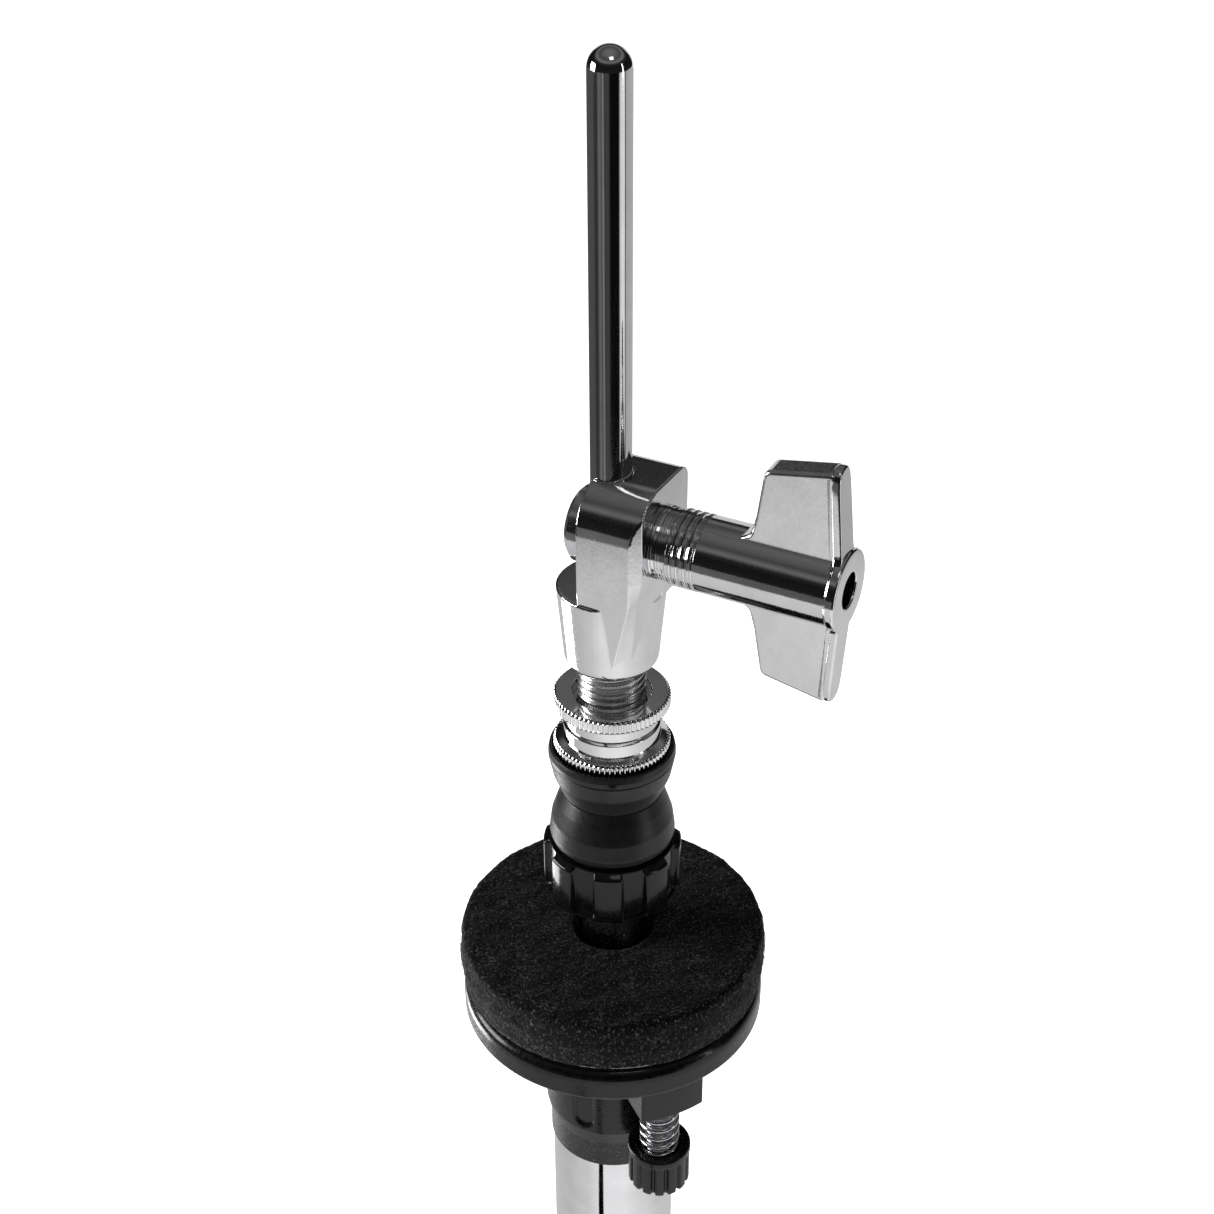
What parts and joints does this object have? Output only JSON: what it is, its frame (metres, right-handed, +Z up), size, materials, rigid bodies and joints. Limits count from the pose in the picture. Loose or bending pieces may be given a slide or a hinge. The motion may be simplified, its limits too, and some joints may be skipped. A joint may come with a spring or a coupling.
{
  "type": "hi-hat stand upper section with clutch",
  "caption": "Top of a hi-hat cymbal stand: tube with a tilting felt seat for the lower cymbal, a sliding pull rod and a threaded clutch with rubbers, lock nuts and wing nut for the upper one.",
  "frame": {"origin": "centre of the upper tube's lower end, where the tube drops into the base of the stand", "axes": "+Z up along the tube and pull rod, +X to the right and -Y to the front, the side seen first; the wing nut points 28 degrees to the front of +X"},
  "size_m": [0.0637, 0.0534, 0.4526],
  "materials": {
    "upper_tube": "polished chrome plating",
    "tube_collar": "dark satin band",
    "bottom_guide_bush": "natural nylon",
    "top_guide_plug": "natural nylon",
    "rod_guide_sleeve": "black nylon",
    "pull_rod": "polished chrome plating",
    "seat_cup": "moulded black nylon, glossy lip and semi-matte neck",
    "centre_post": "plated steel tube",
    "tilt_plate": "thin plated disc",
    "seat_felt": "dense black wool felt",
    "tilter_insert": "threaded brass bush",
    "tilter_screw": "plated steel screw",
    "tilter_knob": "fluted black knob",
    "tilter_spring": "plated spring wire",
    "bottom_nut": "glossy black ribbed grip nut",
    "bottom_nut_insert": "threaded brass bush",
    "lower_rubber_washer": "matte black moulded rubber",
    "upper_rubber_washer": "matte black moulded rubber",
    "clutch_tube": "threaded and plated steel tube",
    "lower_lock_nut": "knurled rim, polished hub",
    "upper_lock_nut": "knurled rim, polished hub",
    "clutch_body": "plated casting",
    "clutch_eyebolt": "plated steel",
    "wing_washer": "plated steel washer",
    "wing_nut": "plated casting with satin wings"
  },
  "bodies": {
    "stand": {"upper_tube": "upper_tube", "tube_collar": "tube_collar", "bottom_guide_bush": "bottom_guide_bush", "top_guide_plug": "top_guide_plug", "seat_cup": "seat_cup", "centre_post": "centre_post", "tilter_insert": "tilter_insert", "tilter_spring": "tilter_spring"},
    "guide_sleeve": {"rod_guide_sleeve": "rod_guide_sleeve"},
    "rod": {"pull_rod": "pull_rod"},
    "clutch": {"clutch_body": "clutch_body", "clutch_tube": "clutch_tube", "lower_rubber_washer": "lower_rubber_washer", "wing_washer": "wing_washer"},
    "eyebolt": {"clutch_eyebolt": "clutch_eyebolt"},
    "wing": {"wing_nut": "wing_nut"},
    "upper_washer": {"upper_rubber_washer": "upper_rubber_washer"},
    "lower_nut": {"lower_lock_nut": "lower_lock_nut"},
    "upper_nut": {"upper_lock_nut": "upper_lock_nut"},
    "grip_nut": {"bottom_nut": "bottom_nut", "bottom_nut_insert": "bottom_nut_insert"},
    "tilt_seat": {"tilt_plate": "tilt_plate", "seat_felt": "seat_felt"},
    "screw": {"tilter_screw": "tilter_screw"},
    "knob": {"tilter_knob": "tilter_knob"}
  },
  "joints": [
    {"name": "rod_swivel", "type": "hinge", "parent": "stand", "child": "guide_sleeve", "pos_m": [0, 0, 0.2664], "axis": [0, 0, 1], "continuous": true},
    {"name": "rod_travel", "type": "slide", "parent": "guide_sleeve", "child": "rod", "axis": [0, 0, 1], "range_m": [0, 0.04]},
    {"name": "clutch_height", "type": "slide", "parent": "rod", "child": "clutch", "axis": [0, 0, 1], "range_m": [0, 0.05]},
    {"name": "wing_nut_turn", "type": "hinge", "parent": "clutch", "child": "wing", "pos_m": [0, 0, 0.3536], "axis": [0.8829, -0.4695, 0], "range_deg": [0, 180]},
    {"name": "eyebolt_travel", "type": "slide", "parent": "clutch", "child": "eyebolt", "axis": [-0.8829, 0.4695, 0], "range_m": [0, 0.000501]},
    {"name": "upper_washer_travel", "type": "slide", "parent": "clutch", "child": "upper_washer", "axis": [0, 0, 1], "range_m": [0, 0.00381]},
    {"name": "lower_lock_nut_turn", "type": "hinge", "parent": "upper_washer", "child": "lower_nut", "pos_m": [0, 0, 0.3155], "axis": [0, 0, 1], "range_deg": [0, 1080]},
    {"name": "upper_lock_nut_turn", "type": "hinge", "parent": "lower_nut", "child": "upper_nut", "pos_m": [0, 0, 0.3211], "axis": [0, 0, 1], "range_deg": [0, 90]},
    {"name": "bottom_nut_turn", "type": "hinge", "parent": "clutch", "child": "grip_nut", "pos_m": [0, 0, 0.2893], "axis": [0, 0, 1], "range_deg": [0, 180]},
    {"name": "tilter_screw_travel", "type": "slide", "parent": "stand", "child": "screw", "axis": [0, 0, 1], "range_m": [0, 0.004], "deforming": ["tilter_spring"]},
    {"name": "tilter_knob_turn", "type": "hinge", "parent": "screw", "child": "knob", "pos_m": [0.00797, -0.01791, 0.2357], "axis": [0, 0, 1], "range_deg": [0, 1803]},
    {"name": "seat_tilt", "type": "hinge", "parent": "stand", "child": "tilt_seat", "pos_m": [-0.01017, 0.02284, 0.2644], "axis": [-0.9135, -0.4067, 0], "range_deg": [0, 5.15]}
  ],
  "couplings": [
    {"joint": "eyebolt_travel", "follows": "wing_nut_turn", "m_per_rad": 0.00015915},
    {"joint": "upper_washer_travel", "follows": "lower_lock_nut_turn", "m_per_rad": 0.00020213},
    {"joint": "tilter_knob_turn", "follows": "tilter_screw_travel", "rad_per_m": 7854},
    {"joint": "seat_tilt", "follows": "tilter_screw_travel", "rad_per_m": 22.422}
  ]
}
